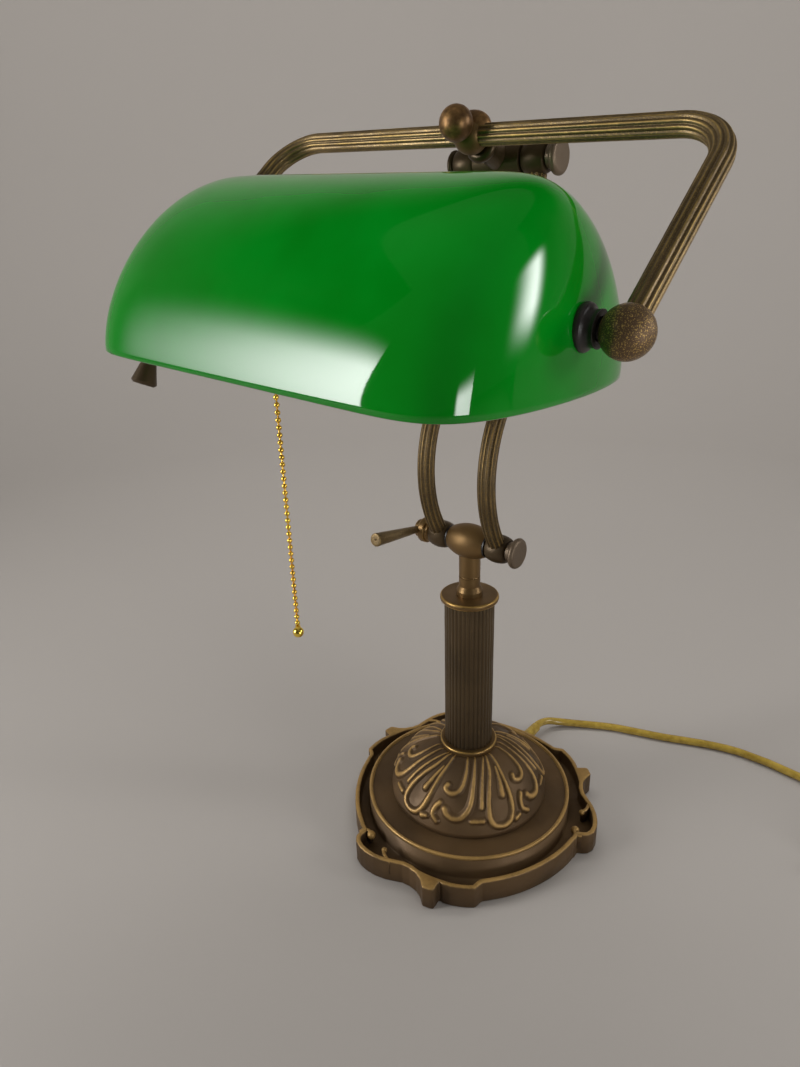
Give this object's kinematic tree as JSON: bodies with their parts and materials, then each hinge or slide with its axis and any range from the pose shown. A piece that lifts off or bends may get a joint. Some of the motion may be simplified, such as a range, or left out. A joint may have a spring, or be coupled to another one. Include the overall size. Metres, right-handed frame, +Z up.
{
  "type": "bankers lamp",
  "caption": "Desk lamp with a cast scroll foot, fluted column, twin swan-neck arms and a yoke that carries a green glass loaf shade with a pull chain.",
  "frame": {"origin": "on the table under the column's axis, at the felt's lower face", "axes": "+Z up, -Y towards the lamp's front, +X to the lamp's right along the shade"},
  "size_m": [0.4898, 0.3472, 0.4471],
  "materials": {
    "bronze": "aged dark bronze with worn edges",
    "worn_gold": "aged brass, mottled",
    "bright_brass": "polished",
    "iron": "raw",
    "steel": "plated",
    "felt": "felt",
    "black_plastic": "satin",
    "green_glass": "glossy cased glass",
    "bulb_glass": "frosted",
    "porcelain": "plain",
    "cord_gold": "glossy"
  },
  "bodies": {
    "base": {"foot_casting": "bronze", "leaf_dome": "bronze", "foot_weight": "iron", "bottom_cover": "iron", "felt_pad": "felt", "tie_rod": "steel", "tie_nut": "steel", "column_ring": "worn_gold", "column": "bronze", "collar": "worn_gold", "pivot_post": "bronze", "pivot_bolt": "worn_gold", "friction_washer_left": "black_plastic", "friction_washer_right": "black_plastic", "cord_gland": "worn_gold", "cord": "cord_gold", "cord_coil": "cord_gold", "coil_tie": "black_plastic", "plug_body": "cord_gold", "plug_pins": "steel"},
    "clamp": {"clamp_lever": "bronze"},
    "arms": {"arm_left": "bronze", "arm_right": "bronze", "lower_eye_left": "bronze", "lower_eye_right": "bronze", "upper_eye_left": "bronze", "upper_eye_right": "bronze", "head_bolt": "worn_gold", "head_nut": "bronze"},
    "head": {"head_block": "bronze", "hub_bolt": "steel", "hub_cap": "worn_gold"},
    "yoke": {"hub_ball": "worn_gold", "yoke_bow": "bronze", "yoke_ball_left": "worn_gold", "yoke_ball_right": "worn_gold", "pivot_pin_left": "steel", "pivot_pin_right": "steel", "pin_nut": "steel", "holder_cap": "worn_gold", "holder_shell": "worn_gold", "holder_insert": "porcelain", "bulb_cap": "steel", "bulb_glass": "bulb_glass", "switch_bell": "bright_brass"},
    "shade": {"shade_glass": "green_glass", "bush_left": "black_plastic", "bush_right": "black_plastic", "bush_nut_left": "black_plastic", "bush_nut_right": "black_plastic"},
    "handle": {"shade_handle": "worn_gold"},
    "switch": {"switch_link": "bright_brass"},
    "chain": {"pull_chain": "bright_brass", "chain_ball": "bright_brass"}
  },
  "joints": [
    {"name": "arm_tilt", "type": "hinge", "parent": "base", "child": "arms", "pos_m": [0, 0, 0.2116], "axis": [1, 0, 0], "range_deg": [-20, 25]},
    {"name": "clamp_turn", "type": "hinge", "parent": "base", "child": "clamp", "pos_m": [0, 0, 0.2116], "axis": [1, 0, 0], "range_deg": [-40, 40]},
    {"name": "head_tilt", "type": "hinge", "parent": "arms", "child": "head", "pos_m": [0, 0.0285, 0.4243], "axis": [1, 0, 0], "range_deg": [-40, 4]},
    {"name": "yoke_swivel", "type": "hinge", "parent": "head", "child": "yoke", "pos_m": [0, -0.002, 0.4344], "axis": [0, -0.9493, 0.3144], "range_deg": [-15, 15]},
    {"name": "shade_turn", "type": "hinge", "parent": "yoke", "child": "shade", "pos_m": [-0.00421, -0.08818, 0.36143], "axis": [0.9983, 0, -0.0576], "range_deg": [-35, 35]},
    {"name": "handle_turn", "type": "hinge", "parent": "yoke", "child": "handle", "pos_m": [-0.14447, -0.08818, 0.36952], "axis": [0.9983, 0, -0.0576], "range_deg": [-40, 40]},
    {"name": "switch_pull", "type": "slide", "parent": "yoke", "child": "switch", "axis": [-0.0576, 0, -0.9983], "range_m": [0, 0.008], "stiffness_N_per_m": 300, "springref_m": -0.003},
    {"name": "chain_swing", "type": "hinge", "parent": "switch", "child": "chain", "pos_m": [-0.06707, -0.08818, 0.3308], "axis": [0, 1, 0], "range_deg": [-35, 35]}
  ]
}
